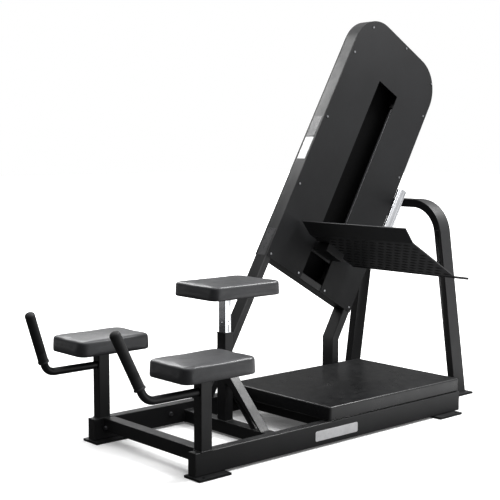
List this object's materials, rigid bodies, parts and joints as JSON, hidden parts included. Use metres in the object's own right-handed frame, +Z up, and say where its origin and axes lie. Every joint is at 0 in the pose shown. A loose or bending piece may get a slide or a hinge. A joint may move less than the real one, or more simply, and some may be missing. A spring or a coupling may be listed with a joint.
{
  "type": "hip thrust machine",
  "caption": "Plate-loaded standing hip thrust machine: low base, padded arm and belly rests, standing platform and an inclined tower with a sliding footplate and weight horn.",
  "frame": {"origin": "centre of the bounding box in X and Y, on the floor plane under the rubber feet", "axes": "+X from the handles at the front to the tower and rear arch, +Y from the near rail to the rail under the tower, +Z up"},
  "size_m": [2.7478, 1.252, 2.0698],
  "materials": {
    "powder_coat": "fine texture satin",
    "cover_paint": "fine texture matte",
    "deck_paint": "satin",
    "pad_vinyl": "satin",
    "black_rubber": "matte",
    "black_plastic": "matte",
    "bearing_plastic": "matte",
    "chrome_plate": "polished",
    "zinc_steel": "zinc plated",
    "label_film": "gloss film"
  },
  "bodies": {
    "frame": {"base_rail_near": "powder_coat", "base_rail_far": "powder_coat", "rail_end_caps": "black_plastic", "front_cross_tube": "powder_coat", "middle_cross_tube": "powder_coat", "deck_cross_tubes": "powder_coat", "foot_plates": "powder_coat", "foot_rubbers": "black_rubber", "frame_bolts": "zinc_steel", "arm_post_near": "powder_coat", "arm_post_far": "powder_coat", "arm_pad_plates": "powder_coat", "arm_pad_near": "pad_vinyl", "arm_pad_far": "pad_vinyl", "handle_bar_near": "powder_coat", "handle_bar_far": "powder_coat", "grip_near": "black_rubber", "grip_far": "black_rubber", "seat_post": "powder_coat", "seat_post_liner": "black_plastic", "seat_brace": "powder_coat", "pin_housing": "powder_coat", "deck_supports": "powder_coat", "platform_deck": "deck_paint", "tower_front_tube": "powder_coat", "tower_rear_tube": "powder_coat", "tower_top_tube": "powder_coat", "tower_bottom_tube": "powder_coat", "tower_inner_bar": "powder_coat", "near_cover": "cover_paint", "far_cover": "cover_paint", "cover_screws": "zinc_steel", "guide_rod_front": "chrome_plate", "guide_rod_rear": "chrome_plate", "rod_clamps": "powder_coat", "stop_bumpers": "black_rubber", "rear_arch": "powder_coat", "arch_bracket": "powder_coat", "label_plates": "label_film", "rail_badge": "label_film", "pin_spring": "zinc_steel"},
    "carriage": {"carriage_plate": "powder_coat", "housing_front": "powder_coat", "housing_rear": "powder_coat", "bearing_liners": "bearing_plastic", "carriage_arm": "powder_coat", "carriage_gussets": "powder_coat", "footplate": "powder_coat", "footplate_edge_bar": "powder_coat", "weight_horn": "chrome_plate", "horn_collar": "powder_coat", "horn_cap": "chrome_plate", "carriage_bolts": "zinc_steel"},
    "seat": {"seat_adjust_tube": "chrome_plate", "seat_pad_plate": "powder_coat", "seat_pad": "pad_vinyl"},
    "pin": {"pull_pin": "chrome_plate", "pull_pin_knob": "black_plastic"}
  },
  "joints": [
    {"name": "carriage_slide", "type": "slide", "parent": "frame", "child": "carriage", "axis": [0.5, 0, 0.866], "range_m": [0, 0.845]},
    {"name": "seat_height", "type": "slide", "parent": "frame", "child": "seat", "axis": [0, 0, 1], "range_m": [-0.1, 0.1]},
    {"name": "pin_pull", "type": "slide", "parent": "frame", "child": "pin", "axis": [1, 0, 0], "range_m": [0, 0.012], "stiffness_N_per_m": 1500, "springref_m": -0.006, "deforming": ["pin_spring"]}
  ]
}
